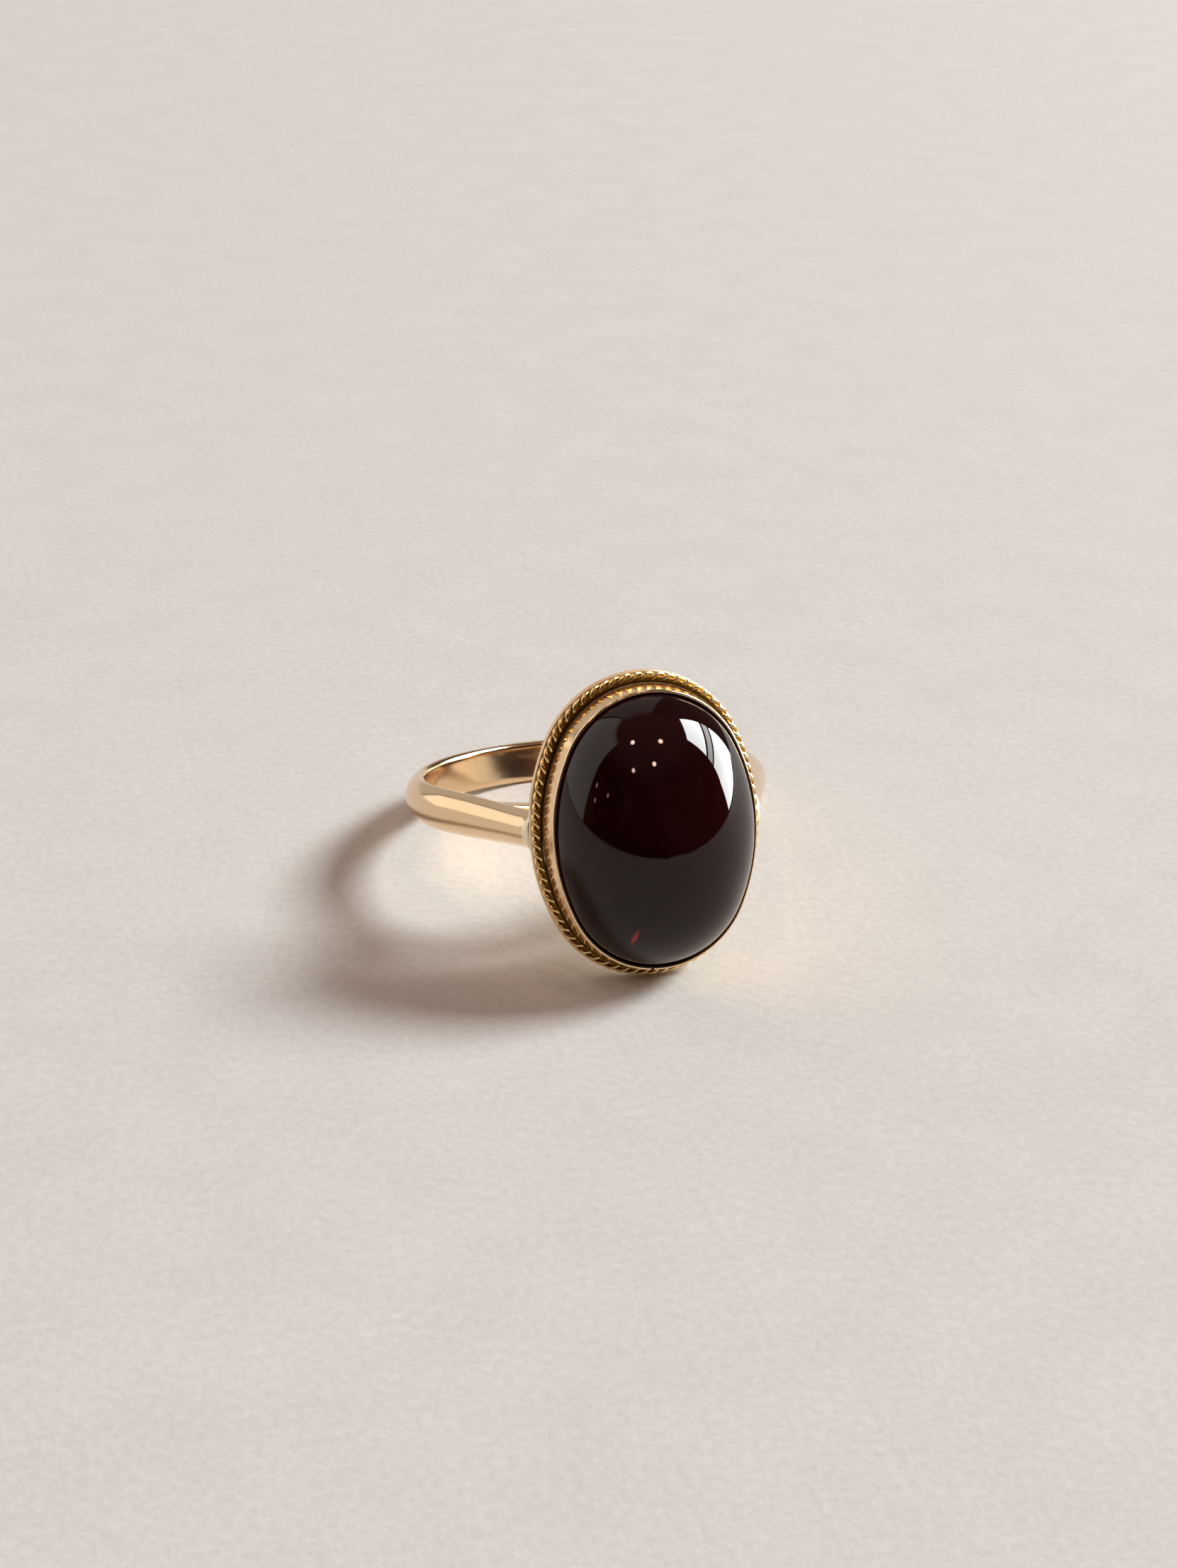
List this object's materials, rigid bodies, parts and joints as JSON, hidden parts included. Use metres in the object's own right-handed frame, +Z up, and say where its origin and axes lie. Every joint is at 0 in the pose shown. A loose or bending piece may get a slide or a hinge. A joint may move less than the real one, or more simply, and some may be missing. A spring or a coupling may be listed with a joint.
{
  "type": "cabochon ring",
  "caption": "Finger ring with a large high-domed oval dark red cabochon in a smooth bezel, edged with twisted wire, on a plain rounded gold shank.",
  "frame": {"origin": "on the surface that the ring rests on, under the middle of its bounding box", "axes": "+Z up from the surface, -Y towards the head and its stone, X from shoulder to shoulder; the finger hole's axis leans 18 degrees from +Z towards +Y"},
  "size_m": [0.0194, 0.0258, 0.0147],
  "materials": {
    "gold": "polished, worn, with fine scratches and a few solder pits",
    "garnet": "polished, nearly opaque"
  },
  "bodies": {
    "root": {"shank_and_bezel": "gold", "twisted_wire": "gold", "cabochon": "garnet"}
  },
  "joints": []
}
